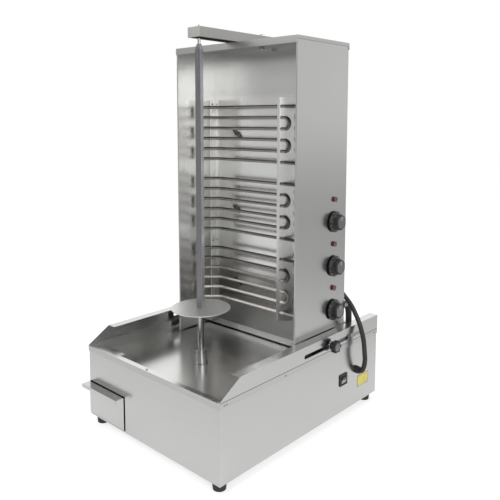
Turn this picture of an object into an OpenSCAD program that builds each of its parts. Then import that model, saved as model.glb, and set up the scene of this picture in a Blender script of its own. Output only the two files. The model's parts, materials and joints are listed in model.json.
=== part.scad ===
// Doner kebab grill: an electric upright grill on a drip tray base.
// The tower with its heaters slides towards a turning spit, a drawer takes the fat,
// and each of the three heaters has a knob and a lamp.
// Millimetres. +X is the side with the controls, +Y is the back, +Z is up.

/* [Base] */
// Width of the base over the tray skirt
base_width = 460; // [420:1:520]
// Depth of the base over the tray skirt
base_depth = 593; // [540:1:680]
// Height of the base housing up to the tray rim
base_height = 175; // [150:1:210]
// Height of the splash guards over the tray rim
guard_height = 37; // [30:1:45]
// Height of the rubber feet
foot_height = 20; // [15:1:30]
// Thickness of the steel sheet
sheet = 1.5; // [1.2:0.1:2]

/* [Tower] */
// Gap between the tower and the side of the base
tower_inset = 26; // [24:1:34]
// Depth of the tower from front to back
tower_depth = 204; // [190:1:240]
// Height of the tower over the tray rim
tower_height = 740.6; // [640:1:860]
// How far the tower slides towards the spit
slide_forward = 95; // [60:1:95]
// How far the tower slides away from the spit
slide_back = 20; // [10:1:22]

/* [Heaters] */
// Diameter of the heater rods
rod_diameter = 8; // [6:0.5:10]
// Number of passes of the rod in one heater
passes = 6; // [4:2:6]

/* [Spit] */
// Diameter of the disc that the meat stands on
disc_diameter = 142; // [110:1:180]
// Side of the square spit tube
spit_side = 14; // [12:0.5:16]

/* [Controls] */
// Diameter of the skirt of the control knobs
knob_diameter = 52; // [44:1:58]
// Diameter of the clamp knobs
clamp_diameter = 30; // [24:1:36]
// Diameter of the cable hose between the tower and the base
hose_diameter = 12; // [10:0.5:15]
// Diameter of the short hose behind the tower
short_diameter = 16; // [12:0.5:18]

/* [Hidden] */

// Fit and facets
fit = sheet * 0.2;
run_fit = sheet * 0.04;
round_fn = 48;
small_fn = 24;

// Base
half_w = base_width / 2;
skirt_h = base_height * 0.074;
rim_z = base_height;
wall_x = half_w - sheet;
pan_x = half_w * 0.961;
pan_y0 = base_depth * 0.025;
pan_y1 = base_depth * 0.975;
pan_depth = base_height * 0.16;
pan_floor = rim_z - pan_depth;
lip_w = base_width * 0.033;
tab_x0 = -half_w * 0.904;
tab_x1 = -half_w * 0.513;
tab_y = base_depth * 0.047;

// Splash guards
guard_top = rim_z + guard_height;
guard_flange = tower_inset * 0.94;
guard_slope = base_depth * 0.101;
guard_foot = tower_inset * 0.19;
slot_h = guard_height * 0.25;
slot_z = rim_z + guard_height * 0.35;

// Tower
tower_w = base_width - 2 * tower_inset;
tower_x = tower_w / 2;
tower_y0 = base_depth * 0.4558;
tower_y1 = tower_y0 + tower_depth;
tower_top = rim_z + tower_height;
shell_x = tower_x - sheet;
shell_in = shell_x - sheet;
shell_y0 = tower_y0 + sheet;
shell_y1 = tower_y1 - sheet;
shell_z0 = pan_floor + sheet * 2;
shell_z1 = tower_top - sheet;
hem_w = tower_inset * 0.17;
cover_drop = tower_height * 0.022;
cover_flange = tower_height * 0.011;

// Slider and clamp
clamp_y = tower_y0 + tower_depth * 0.528;
guide_y = tower_y0 + tower_depth * 0.9;
stud_d = slot_h * 0.8;
slot_y0 = clamp_y - slide_forward - slot_h * 1.1;
slot_y1 = guide_y + tower_depth * 0.27;

// Back panel and its bottom ledge
back_y = tower_y0 + tower_depth * 0.675;
ledge_depth = tower_depth * 0.12;
ledge_h = pan_depth * 0.56;
ledge_z = shell_z0 + fit;

// Heater rods, bent forward at the left and straight through a plate at the right
heater_y = tower_y0 + tower_depth * 0.522;
kink_left = -tower_x * 0.715;
cross_x = tower_x * 0.37;
run_end = cross_x + tower_depth * 0.04;
bend_r = rod_diameter * 3;
bend_t = bend_r * tan(22.5);
leg_left = tower_depth * 0.21;
cross_left = tower_depth * 0.128;
pitch = tower_height * 0.0378;
loop_r = pitch / 2;
heater_low = pan_floor + tower_height * 0.119;
heater_step = pitch * (5 + 1.93);
heater_top = heater_low + 2 * heater_step + 5 * pitch;
bracket_z0 = heater_low - pitch * 0.75;
bracket_z1 = heater_top + pitch * 0.78;
hole_d = rod_diameter + 2 * fit;
seam = sheet * 0.1;
crimp_d = rod_diameter * 1.04;
terminal_len = rod_diameter * 2.2;

// Brackets
cos45 = cos(45);
plate_cross = [cross_x, heater_y];
plate_lead = tower_depth * 0.039;
plate_tail = tower_depth * 0.152;
plate_strip = tower_depth * 0.035;
plate_front = [plate_cross[0] - plate_lead * cos45, plate_cross[1] - plate_lead * cos45];
plate_back = [plate_cross[0] + (plate_tail - sheet * 2) * cos45,
  plate_cross[1] + (plate_tail - sheet * 2) * cos45];
plate_miter = sheet / 2 * tan(22.5);
hole_reach = (hole_d * (1 / cos45 - 1) + sheet) / 2;
plate_end = [plate_cross[0] + plate_tail * cos45, plate_cross[1] + plate_tail * cos45];
hook_cross = [kink_left - cross_left * cos45, heater_y - cross_left * cos45];
hook_len = (hook_cross[0] + shell_in) / cos45;
hook_lead = rod_diameter * 1.5;
hook_wall_y = hook_cross[1] + hook_len * cos45;
box_y0 = plate_end[1] + sheet;
box_y1 = box_y0 + tower_depth * 0.3;

// Controls on the right wall
control_y = tower_y0 + tower_depth * 0.7485;
control_pitch = tower_height * 0.1492;
control_low = rim_z + tower_height * 0.116;
lamp_rise = tower_height * 0.0743;
lamp_d = knob_diameter * 0.2;
shaft_d = knob_diameter * 0.12;
knob_gap = sheet;
knob_len = knob_diameter * 0.38;
regulator_w = tower_depth * 0.2;
regulator_d = tower_depth * 0.17;

// Arm on the top
arm_w = base_width * 0.087;
arm_h = tower_height * 0.031;
arm_sheet = sheet * 2;
arm_y0 = base_depth * 0.2505;
arm_y1 = shell_y1 - slide_forward * 0.03;
arm_z0 = tower_top + fit;
arm_slot = sheet * 6;
bolt_y = tower_y0 + tower_depth * 0.552;
bolt_d = sheet * 5;

// Spit
spit_y = base_depth * 0.2782;
spit_turn = 19.4;
disc_z = pan_floor + tower_height * 0.1836;
disc_t = sheet * 1.4;
tube_top = tower_top - tower_height * 0.0185;
spit_rod_d = spit_side * 1.12;
collar_d = spit_rod_d * 1.85;
collar_h = pan_depth * 1.2;
taper_h = tower_height * 0.02;
taper_turn = 11;
pin_d = spit_side * 0.5;
peg_d = pin_d * 0.5;
shaft_z0 = base_height * 0.56;

// Drawer
drawer_x0 = -half_w + sheet;
drawer_x1 = -half_w * 0.371;
drawer_z0 = base_height * 0.03;
drawer_z1 = base_height * 0.5;
drawer_len = base_depth * 0.44;
handle_out = base_depth * 0.037;
handle_drop = base_height * 0.05;
drawer_gap = sheet * 1.6;
drawer_side_gap = sheet * 2.6;

// Controls on the base
rocker_y = base_depth * 0.7335;
rocker_z = base_height * 0.475;
rocker_w = base_depth * 0.052;
rocker_h = base_height * 0.165;
plate_y0 = base_depth * 0.845;
plate_y1 = base_depth * 0.93;
plate_z0 = base_height * 0.232;
plate_z1 = base_height * 0.4;

// Middle of the whole part from front to back
y_mid = (base_depth - handle_out) / 2;

// Route of the main hose, as round numbers at the sizes of the photograph
main_route = [
  [146, 486, 300], [146, 490, 300], [149, 495, 299], [155, 498, 297], [163, 498, 294],
  [172, 496, 290], [182, 494, 284], [193, 492, 276], [206, 491, 265], [217, 490, 253],
  [226, 490, 239], [234, 490, 225], [241, 490, 210], [246, 491, 194], [250, 492, 177],
  [252, 493, 160], [253, 494, 143], [254, 495, 128], [253, 496, 116], [251, 497, 106],
  [248, 497, 97], [244, 497, 91], [241, 497, 90], [238, 497, 90]
];
// Route of the short hose from the tower's elbow down to the tray floor
short_route = [
  [190, 487, 256], [190, 494, 256], [191, 502, 252], [192, 507, 244], [193, 509, 232],
  [193, 510, 215], [193, 510, 198], [193, 509, 182], [192, 508, 170], [192, 508, 162]
];

// The routes follow the driving sizes: their own sizes are those of the photograph
route_size = [460, 593, 175];
route_back = 474.3;
function routed(p) = [p[0] * base_width / route_size[0],
  tower_y1 + (p[1] - route_back) * base_depth / route_size[1],
  p[2] * base_height / route_size[2]];
gland_seat = sheet;
main_ends = [routed(main_route[0]), routed(main_route[len(main_route) - 1])];
short_ends = [routed(short_route[0]), routed(short_route[len(short_route) - 1])];
gland_y = main_ends[1][1];
gland_z = main_ends[1][2];
deck_x = short_ends[1][0];
deck_y = short_ends[1][1];

module placed() {
  translate([0, -y_mid, foot_height]) children();
}

module slab(x0, x1, y0, y1, z0, z1) {
  translate([x0, y0, z0]) cube([x1 - x0, y1 - y0, z1 - z0]);
}

module post(x, y, z0, z1, d) {
  translate([x, y, z0]) cylinder(h = z1 - z0, d = d, $fn = round_fn);
}

module along_x(x0, x1, y, z, d) {
  translate([x0, y, z]) rotate([0, 90, 0]) cylinder(h = x1 - x0, d = d, $fn = round_fn);
}

module along_y(x, y0, y1, z, d) {
  translate([x, y0, z]) rotate([-90, 0, 0]) cylinder(h = y1 - y0, d = d, $fn = round_fn);
}

// A slot along Y with round ends, cut through along X
module slot_x(x0, x1, y0, y1, z, h) {
  slab(x0, x1, y0 + h / 2, y1 - h / 2, z - h / 2, z + h / 2);
  along_x(x0, x1, y0 + h / 2, z, h);
  along_x(x0, x1, y1 - h / 2, z, h);
}

module base_housing() {
  color("silver") placed() difference() {
    slab(-wall_x, wall_x, sheet, base_depth - sheet, 0, rim_z - sheet);
    slab(-wall_x + sheet, wall_x - sheet, sheet * 2, base_depth - sheet * 2, sheet, rim_z);
    slab(-wall_x + lip_w, wall_x - lip_w, lip_w, base_depth - lip_w, -sheet, rim_z);
    slab(drawer_x0 + sheet, drawer_x1, -sheet, sheet * 3, drawer_z0 - sheet, drawer_z1);
    slab(0, half_w, rocker_y - rocker_w * 0.4, rocker_y + rocker_w * 0.4,
      rocker_z - rocker_h * 0.4, rocker_z + rocker_h * 0.4);
    along_x(0, half_w, gland_y, gland_z, hose_diameter * 0.9);
    along_y(half_w * 0.5, base_depth - sheet * 3, base_depth, gland_z, hose_diameter * 0.9);
  }
}

module base_floor() {
  color("silver") placed() difference() {
    slab(-wall_x + sheet, wall_x - sheet, sheet * 2, base_depth - sheet * 2, sheet, sheet * 2);
    for (x = [-foot_x, foot_x], y = [foot_y0, foot_y1]) post(x, y, 0, sheet * 3, screw_d);
    for (x = vent_x_share) for (y = vent_y_share)
      slab(half_w * x - lip_w, half_w * x + lip_w, base_depth * y, base_depth * y + sheet * 3,
        0, sheet * 3);
  }
}

foot_x = half_w * 0.895;
foot_y0 = base_depth * 0.038;
foot_y1 = base_depth * 0.962;
foot_d = base_width * 0.07;
screw_d = foot_d * 0.2;
vent_x_share = [0.2, 0.45, 0.7];
vent_y_share = [0.5, 0.53, 0.56, 0.59];

module drip_tray() {
  color("gainsboro") placed() {
    slab(tab_x0, tab_x1, pan_y0 - sheet, tab_y, rim_z - sheet, rim_z);
    tray_pan();
  }
}

module tray_pan() {
  difference() {
    union() {
      difference() {
        slab(-half_w, half_w, 0, base_depth, rim_z - skirt_h, rim_z);
        slab(-wall_x, wall_x, sheet, base_depth - sheet, rim_z - skirt_h - sheet, rim_z - sheet);
      }
      slab(-pan_x - sheet, pan_x + sheet, pan_y0 - sheet, pan_y1 + sheet,
        pan_floor - sheet, rim_z - sheet);
      post(0, spit_y, pan_floor - sheet * 4, pan_floor, collar_d * 0.9);
    }
    slab(-pan_x, pan_x, pan_y0, pan_y1, pan_floor, rim_z + sheet);
    post(0, spit_y, pan_floor - sheet * 5, rim_z, spout_d);
    post(drain_x, drain_y, pan_floor - sheet * 3, rim_z, drain_d);
    post(deck_x, deck_y, pan_floor - sheet * 3, rim_z, short_diameter * 0.9);
  }
}

drain_x = -half_w * 0.7;
drain_y = base_depth * 0.07;
drain_d = base_width * 0.06;
spout_d = spit_rod_d + sheet;

module guard() {
  difference() {
    union() {
      slab(half_w - sheet, half_w, 0, base_depth, rim_z, guard_top);
      slab(half_w - guard_flange, half_w, guard_slope, base_depth, guard_top - sheet, guard_top);
      slab(half_w - guard_foot, half_w, 0, base_depth, rim_z, rim_z + sheet);
    }
    translate([half_w - guard_flange * 2, 0, rim_z + sheet]) rotate([90, 0, 90])
      linear_extrude(height = guard_flange * 3)
        polygon([[-sheet, 0], [0, 0], [guard_slope, guard_height - sheet],
          [guard_slope, guard_height + sheet], [-sheet, guard_height + sheet]]);
    slot_x(half_w - sheet * 3, half_w + sheet, slot_y0, slot_y1, slot_z, slot_h);
  }
}

module left_guard() {
  color("silver") placed() mirror([1, 0, 0]) guard();
}

module right_guard() {
  color("silver") placed() guard();
}

rivet_d = skirt_h * 0.32;
rivet_y_share = [0.025, 0.036, 0.349, 0.975];
stud_x_share = [-0.035, 0.96];

module tray_rivets() {
  color("dimgray") placed() {
    for (s = [-1, 1]) for (y = rivet_y_share)
      along_x(s * half_w - (1 - s) / 2 * rivet_d * 0.3, s * half_w + (1 + s) / 2 * rivet_d * 0.3,
        base_depth * y, rim_z - skirt_h * 0.65, rivet_d);
    for (x = stud_x_share) post(half_w * x, pan_y0 * 0.5, rim_z, rim_z + sheet, rivet_d * 1.4);
  }
}

module foot() {
  difference() {
    union() {
      translate([0, 0, -foot_height]) cylinder(h = foot_height, d1 = foot_d * 0.86, d2 = foot_d,
        $fn = round_fn);
    }
    translate([0, 0, -foot_height - sheet]) cylinder(h = foot_height * 0.5, d = foot_d * 0.4,
      $fn = small_fn);
  }
  translate([0, 0, 0]) cylinder(h = sheet * 2, d = screw_d, $fn = small_fn);
  translate([0, 0, sheet * 2]) cylinder(h = sheet * 1.6, d = screw_d * 1.9, $fn = 6);
}

module foot_front_left() {
  color("black") placed() translate([-foot_x, foot_y0, 0]) foot();
}

module foot_front_right() {
  color("black") placed() translate([foot_x, foot_y0, 0]) foot();
}

module foot_rear_left() {
  color("black") placed() translate([-foot_x, foot_y1, 0]) foot();
}

module foot_rear_right() {
  color("black") placed() translate([foot_x, foot_y1, 0]) foot();
}

// Rails beside the drawer, standing on the floor
rail_h = drawer_z1 * 0.4;
rail_gap = sheet * 0.3;
pan_left = drawer_x0 + sheet * 5;
pan_right = drawer_x1 - sheet * 5;
pan_low = drawer_z0 + sheet * 4;

module drawer_rails() {
  color("silver") placed() {
    slab(pan_right + rail_gap, pan_right + rail_gap + sheet, base_depth * 0.06,
      drawer_len * 1.05, sheet * 2, rail_h);
    slab(pan_right - sheet * 3, pan_right + rail_gap, base_depth * 0.06, drawer_len * 1.05,
      pan_low - sheet - rail_gap, pan_low - rail_gap);
    slab(pan_left - rail_gap - sheet, pan_left - rail_gap, base_depth * 0.06,
      drawer_len * 1.05, sheet * 2, rail_h);
    slab(pan_left - rail_gap, pan_left + sheet * 3, base_depth * 0.06, drawer_len * 1.05,
      pan_low - sheet - rail_gap, pan_low - rail_gap);
  }
}

// Motor and gearbox under the tray
motor_d = base_width * 0.13;
motor_z0 = base_height * 0.12;
gearbox_z0 = base_height * 0.42;
gearbox_z1 = base_height * 0.56;
gearbox_x = base_width * 0.09;
gearbox_y = base_depth * 0.07;
bracket_h = sheet * 2;

module gear_motor() {
  color("slategray") placed() difference() {
    union() {
      post(0, spit_y + gearbox_y * 0.35, motor_z0, gearbox_z0, motor_d);
      post(0, spit_y + gearbox_y * 0.35, motor_z0 - sheet * 2, motor_z0, motor_d * 0.5);
    }
    for (k = [0:11]) translate([0, spit_y + gearbox_y * 0.35, motor_z0 + sheet * 4])
      rotate([0, 0, k * 30]) slab(motor_d * 0.46, motor_d * 0.6, -sheet, sheet, 0,
        motor_d * 0.45);
  }
}

module gearbox() {
  color("gray") placed() difference() {
    slab(-gearbox_x, gearbox_x, spit_y - gearbox_y * 0.8, spit_y + gearbox_y * 1.3,
      gearbox_z0, gearbox_z1);
    post(0, spit_y, gearbox_z1 - gearbox_h * 0.5, rim_z, shaft_hole);
  }
}

gearbox_h = gearbox_z1 - gearbox_z0;
drive_d = spit_rod_d * 0.8;
shaft_hole = drive_d + run_fit * 2;

module motor_bracket() {
  color("silver") placed() difference() {
    union() {
      slab(-gearbox_x * 1.4, gearbox_x * 1.4, spit_y - gearbox_y * 0.8, spit_y + gearbox_y * 1.3,
        gearbox_z1, gearbox_z1 + bracket_h);
      for (s = [-1, 1]) slab(s * gearbox_x * 1.4 - bracket_h / 2, s * gearbox_x * 1.4 + bracket_h / 2,
        spit_y - gearbox_y * 0.8, spit_y + gearbox_y * 1.3, gearbox_z1, pan_floor - sheet);
      for (s = [-1, 1]) slab(s * gearbox_x * 1.55 - gearbox_x * 0.15,
        s * gearbox_x * 1.55 + gearbox_x * 0.15, spit_y - gearbox_y * 0.8,
        spit_y + gearbox_y * 1.3, pan_floor - sheet - bracket_h, pan_floor - sheet);
    }
    post(0, spit_y, gearbox_z1 - sheet, rim_z, collar_d);
  }
}

module terminal_box() {
  color("ivory") placed() difference() {
    slab(half_w * 0.5, half_w * 0.8, base_depth * 0.6, base_depth * 0.67, sheet * 2,
      sheet * 2 + base_height * 0.16);
    for (k = [0:5]) translate([half_w * 0.55 + k * half_w * 0.04, 0, 0])
      slab(0, half_w * 0.02, base_depth * 0.61, base_depth * 0.66, base_height * 0.13,
        base_height);
  }
}

rocker_in_w = rocker_w * 0.62;
rocker_in_h = rocker_h * 0.72;

module rocker_bezel() {
  color("black") placed() difference() {
    union() {
      slab(wall_x, wall_x + sheet * 2, rocker_y - rocker_w / 2, rocker_y + rocker_w / 2,
        rocker_z - rocker_h / 2, rocker_z + rocker_h / 2);
      slab(wall_x - rocker_w * 0.8, wall_x + sheet, rocker_y - rocker_w * 0.4,
        rocker_y + rocker_w * 0.4, rocker_z - rocker_h * 0.4, rocker_z + rocker_h * 0.4);
    }
    slab(wall_x - rocker_w * 0.4, half_w + rocker_w, rocker_y - rocker_in_w / 2,
      rocker_y + rocker_in_w / 2, rocker_z - rocker_in_h / 2, rocker_z + rocker_in_h / 2);
  }
}

// The key is a flat prism with two sloping faces that tips about its middle
key_w = rocker_in_w - fit * 2;
key_r = rocker_in_h / 2 - fit * 1.5;

module rocker_key() {
  color("black") placed() translate([wall_x, rocker_y + key_w / 2, rocker_z]) rotate([90, 0, 0])
    difference() {
      linear_extrude(height = key_w)
        intersection() {
          circle(r = key_r, $fn = round_fn);
          polygon([[-key_r * 0.3, -key_r], [key_r * 0.15, -key_r], [key_r * 0.42, 0],
            [key_r * 0.62, key_r * 0.66], [key_r * 0.3, key_r], [-key_r * 0.3, key_r]]);
        }
    }
}

module blank_plate() {
  color("gold") placed()
    slab(wall_x, wall_x + sheet * 0.5, plate_y0, plate_y1, plate_z0, plate_z1);
}

gland_hex = hose_diameter * 1.8;
short_hex = short_diameter * 1.4;

// A cable gland of the length that reaches the hose's end
module gland_body(len, bore, hex) {
  difference() {
    union() {
      translate([0, 0, -sheet * 3]) cylinder(h = sheet * 3, d = bore * 0.88, $fn = small_fn);
      cylinder(h = len * 0.5, d = hex, $fn = 6);
      translate([0, 0, len * 0.5]) cylinder(h = len * 0.5 + gland_seat, d1 = hex * 0.86,
        d2 = hex * 0.78, $fn = round_fn);
    }
    translate([0, 0, len]) cylinder(h = gland_seat * 2, d = bore + fit * 2, $fn = round_fn);
  }
}

module base_gland() {
  color("black") placed() translate([wall_x, gland_y, gland_z]) rotate([0, 90, 0])
    gland_body(main_ends[1][0] - wall_x, hose_diameter, gland_hex);
}

module mains_inlet() {
  color("black") placed() translate([half_w * 0.5, base_depth - sheet, gland_z])
    rotate([-90, 0, 0]) {
      translate([0, 0, -sheet * 3]) cylinder(h = sheet * 3, d = hose_diameter * 0.88,
        $fn = small_fn);
      cylinder(h = sheet * 2, d = gland_hex, $fn = 6);
    }
}

module deck_gland() {
  color("black") placed() translate([deck_x, deck_y, pan_floor])
    gland_body(short_ends[1][2] - pan_floor, short_diameter, short_hex);
}

module drawer_pan() {
  color("silver") placed() difference() {
    slab(pan_left, pan_right, sheet * 2 + fit, drawer_len, pan_low, drawer_z1 - sheet * 4);
    slab(pan_left + sheet, pan_right - sheet, sheet * 3 + fit, drawer_len - sheet,
      pan_low + sheet, drawer_z1);
  }
}

module drawer_front() {
  color("silver") placed() {
    slab(drawer_x0, drawer_x1 - drawer_side_gap, 0, sheet - fit, drawer_z0, drawer_z1 - drawer_gap);
    slab(drawer_x0, drawer_x1 - drawer_side_gap, -handle_out, sheet - fit,
      drawer_z1 - drawer_gap - sheet, drawer_z1 - drawer_gap);
    slab(drawer_x0, drawer_x1 - drawer_side_gap, -handle_out, -handle_out + sheet,
      drawer_z1 - drawer_gap - handle_drop, drawer_z1 - drawer_gap);
    slab(pan_left + sheet * 2, pan_right - sheet * 2, sheet - fit, sheet * 2 + fit,
      pan_low + sheet, drawer_z1 - sheet * 6);
  }
}

module tower_shell() {
  color("silver") placed() difference() {
    union() {
      difference() {
        slab(-shell_x, shell_x, shell_y0, shell_y1, shell_z0, shell_z1);
        slab(-shell_in, shell_in, shell_y0 - sheet, shell_y1 - sheet, shell_z0 - sheet, tower_top);
      }
      for (s = [-1, 1]) slab(s * (shell_x - hem_w / 2) - hem_w / 2,
        s * (shell_x - hem_w / 2) + hem_w / 2, shell_y0, shell_y0 + sheet, shell_z0, shell_z1);
    }
    for (k = [0:2]) {
      along_x(shell_in - sheet, tower_x, control_y, control_low + k * control_pitch,
        shaft_d * 1.7);
      along_x(shell_in - sheet, tower_x, control_y,
        control_low + k * control_pitch + lamp_rise, lamp_d * 0.82);
    }
    along_y(main_ends[0][0], shell_y1 - sheet * 2, tower_y1, main_ends[0][2], hose_diameter * 0.9);
    along_y(short_ends[0][0], shell_y1 - sheet * 2, tower_y1, short_ends[0][2],
      short_diameter * 0.9);
  }
}

module top_cover() {
  color("silver") placed() difference() {
    union() {
      slab(-tower_x, tower_x, tower_y0, tower_y1, tower_top - sheet, tower_top);
      slab(-tower_x, tower_x, tower_y0, tower_y0 + sheet, tower_top - cover_drop, tower_top);
      slab(-tower_x, tower_x, tower_y1 - sheet, tower_y1, tower_top - cover_drop, tower_top);
      for (s = [-1, 1]) slab(s * (tower_x - sheet / 2) - sheet / 2,
        s * (tower_x - sheet / 2) + sheet / 2, tower_y0, tower_y1, tower_top - cover_flange,
        tower_top);
    }
    post(0, bolt_y, tower_top - sheet * 3, tower_top + sheet, bolt_d + fit);
  }
}

module back_panel() {
  color("gainsboro") placed() {
    difference() {
      slab(-shell_in, shell_in, back_y, back_y + sheet, ledge_z, shell_z1);
      slab(plate_end[0] - sheet, shell_in + sheet, back_y - sheet, back_y + sheet * 2,
        bracket_z0, bracket_z1);
    }
    for (z = [ledge_z, shell_z1 - sheet])
      slab(-shell_in, shell_in, back_y + sheet, back_y + tower_depth * 0.08, z, z + sheet);
  }
}

module bottom_ledge() {
  color("silver") placed() {
    slab(-shell_in, shell_in, back_y - ledge_depth, back_y, ledge_z + ledge_h - sheet,
      ledge_z + ledge_h);
    slab(-shell_in, shell_in, back_y - ledge_depth, back_y - ledge_depth + sheet, ledge_z,
      ledge_z + ledge_h);
  }
}

module control_box() {
  color("silver") placed() {
    slab(plate_end[0] - sheet, shell_in, box_y0 - sheet, box_y0, bracket_z0, bracket_z1);
    slab(plate_end[0] - sheet, plate_end[0], box_y0, box_y1, bracket_z0, bracket_z1);
    for (z = [bracket_z0, bracket_z1 - sheet])
      slab(plate_end[0], shell_in, box_y0, box_y1, z, z + sheet);
  }
}

// Heights of all passes, from the bottom pass of the lowest heater
function pass_z(h, i) = heater_low + h * heater_step + i * pitch;

module left_bracket() {
  color("silver") placed() {
    translate([-shell_in, hook_wall_y, 0]) rotate([0, 0, -45]) difference() {
      slab(sheet, hook_len + hook_lead, -sheet / 2, sheet / 2, bracket_z0, bracket_z1);
      for (h = [0:2]) for (i = [0:passes - 1]) {
        translate([hook_len, 0, pass_z(h, i)]) rotate([90, 0, 0])
          cylinder(h = sheet * 3, d = hole_d, center = true, $fn = small_fn);
        slab(hook_len, hook_len + hook_lead * 2, -sheet, sheet, pass_z(h, i) - hole_d / 2,
          pass_z(h, i) + hole_d / 2);
      }
    }
    slab(-shell_in, -shell_in + sheet, hook_wall_y - sheet * 2, back_y - fit, bracket_z0,
      bracket_z1);
  }
}

module right_bracket() {
  color("silver") placed() difference() {
    translate([0, 0, bracket_z0]) linear_extrude(height = bracket_z1 - bracket_z0) polygon([
      [plate_front[0] - plate_strip, plate_front[1] - sheet / 2],
      [plate_front[0] + plate_miter, plate_front[1] - sheet / 2],
      [plate_back[0] + sheet / 2 * cos45, plate_back[1] - sheet / 2 * cos45],
      [plate_back[0] - sheet / 2 * cos45, plate_back[1] + sheet / 2 * cos45],
      [plate_front[0] - plate_miter, plate_front[1] + sheet / 2],
      [plate_front[0] - plate_strip, plate_front[1] + sheet / 2]
    ]);
    translate([plate_cross[0], plate_cross[1], 0]) rotate([0, 0, 45])
      for (h = [0:2]) for (i = [0:passes - 1]) {
        for (s = [-1, 1]) translate([s * hole_reach, 0, pass_z(h, i)]) rotate([90, 0, 0])
          cylinder(h = sheet * 4, d = hole_d, center = true, $fn = small_fn);
        slab(-hole_reach, hole_reach, -sheet * 2, sheet * 2, pass_z(h, i) - hole_d / 2,
          pass_z(h, i) + hole_d / 2);
      }
  }
}

// A straight length of rod, just short of the bends at its ends
module bar(x, y, z, turn, len) {
  translate([x, y, z]) rotate([0, 0, turn]) rotate([0, 90, 0])
    translate([0, 0, seam]) cylinder(h = len - 2 * seam, d = rod_diameter, $fn = small_fn);
}

// A crimp that joins a straight length to a bend
module crimp(x, y, z, turn) {
  translate([x, y, z]) rotate([0, 0, turn]) rotate([0, 90, 0])
    cylinder(h = sheet, d = crimp_d, center = true, $fn = small_fn);
}

module elbow(x, y, z, r, from, sweep) {
  translate([x, y, z]) rotate([0, 0, from])
    rotate_extrude(angle = sweep, $fn = round_fn) translate([r, 0])
      circle(d = rod_diameter, $fn = small_fn);
}

module loop_end(x, y, z, turn) {
  translate([x, y, z]) rotate([0, 0, turn - 90]) rotate([0, -90, 0])
    rotate_extrude(angle = 180, $fn = round_fn) translate([loop_r, 0])
      circle(d = rod_diameter, $fn = small_fn);
  for (s = [-1, 1]) crimp(x, y, z + s * loop_r, turn);
}

// One pass: bent forward by 45 degrees at the left, then straight along the back
module heater_pass(z) {
  bar(kink_left + bend_t, heater_y, z, 0, run_end - kink_left - bend_t);
  crimp(kink_left + bend_t, heater_y, z, 0);
  elbow(kink_left + bend_t, heater_y - bend_r, z, bend_r, 90, 45);
  crimp(kink_left - bend_t * cos45, heater_y - bend_t * cos45, z, 225);
  bar(kink_left - bend_t * cos45, heater_y - bend_t * cos45, z, 225, leg_left - bend_t);
}

// The two free ends run on to the right wall and carry a terminal
module heater_tail(z) {
  crimp(run_end, heater_y, z, 0);
  bar(run_end, heater_y, z, 0, shell_in - terminal_len - run_end);
  translate([shell_in - terminal_len, heater_y, z]) rotate([0, 90, 0]) {
    translate([0, 0, -seam * 2]) cylinder(h = terminal_len * 0.45, d = rod_diameter * 1.7, $fn = 6);
    cylinder(h = terminal_len - fit, d = rod_diameter * 0.8, $fn = small_fn);
  }
}

module heater(h) {
  for (i = [0:passes - 1]) heater_pass(pass_z(h, i));
  for (i = [0:2:passes - 2]) loop_end(kink_left - leg_left * cos45,
    heater_y - leg_left * cos45, pass_z(h, i) + loop_r, 225);
  for (i = [1:2:passes - 3]) loop_end(run_end, heater_y, pass_z(h, i) + loop_r, 0);
  heater_tail(pass_z(h, 0));
  heater_tail(pass_z(h, passes - 1));
}

module upper_heater() {
  color("dimgray") placed() heater(2);
}

module middle_heater() {
  color("dimgray") placed() heater(1);
}

module lower_heater() {
  color("dimgray") placed() heater(0);
}

clip_x = -tower_x * 0.54;
clip_z_share = [0.08, 0.472, 0.866];
clip_d = rod_diameter;
clip_reach = tower_depth * 0.06;

module heater_clips() {
  color("dimgray") placed() for (c = clip_z_share) {
    cz = heater_low + (heater_top - heater_low) * c;
    along_y(clip_x, back_y - clip_reach, back_y, cz, clip_d * 0.6);
    along_y(clip_x, back_y - clip_reach * 0.5, back_y - clip_reach * 0.2, cz, clip_d * 1.4);
    for (a = [35, 215]) translate([clip_x, back_y - clip_reach * 0.35, cz]) rotate([0, a, 0])
      translate([clip_d * 0.5, -sheet / 2, -clip_d * 0.45]) cube([clip_d * 1.4, sheet, clip_d * 0.9]);
  }
}

module regulator(k) {
  cz = control_low + k * control_pitch;
  difference() {
    slab(shell_in - regulator_d, shell_in, control_y - regulator_w / 2,
      control_y + regulator_w / 2, cz - regulator_w * 0.55, cz + regulator_w * 0.55);
    along_x(shell_in - regulator_d * 0.5, shell_in + sheet, control_y, cz,
      shaft_d + 2 * run_fit);
  }
  for (y = [-0.3, 0, 0.3]) slab(shell_in - regulator_d * 1.25, shell_in - regulator_d,
    control_y + y * regulator_w - sheet, control_y + y * regulator_w + sheet,
    cz - regulator_w * 0.3, cz - regulator_w * 0.3 + sheet);
}

module upper_regulator() {
  color("ivory") placed() regulator(2);
}

module middle_regulator() {
  color("ivory") placed() regulator(1);
}

module lower_regulator() {
  color("ivory") placed() regulator(0);
}

module lamp(k) {
  translate([shell_x, control_y, control_low + k * control_pitch + lamp_rise])
    rotate([0, 90, 0]) {
      translate([0, 0, -lamp_d * 1.6]) cylinder(h = lamp_d * 1.6, d = lamp_d * 0.8,
        $fn = small_fn);
      cylinder(h = lamp_d * 0.18, d = lamp_d * 1.2, $fn = small_fn);
      intersection() {
        cylinder(h = lamp_d, d = lamp_d * 0.9, $fn = small_fn);
        translate([0, 0, lamp_d * 0.02]) sphere(d = lamp_d, $fn = small_fn);
      }
    }
}

module upper_lamp() {
  color("firebrick") placed() lamp(2);
}

module middle_lamp() {
  color("firebrick") placed() lamp(1);
}

module lower_lamp() {
  color("firebrick") placed() lamp(0);
}

// A block between the tower and the guard, with the clamp stud and the guide stud
block_w = half_w - sheet - shell_x - fit * 2;
block_h = slot_h * 1.6;

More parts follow.
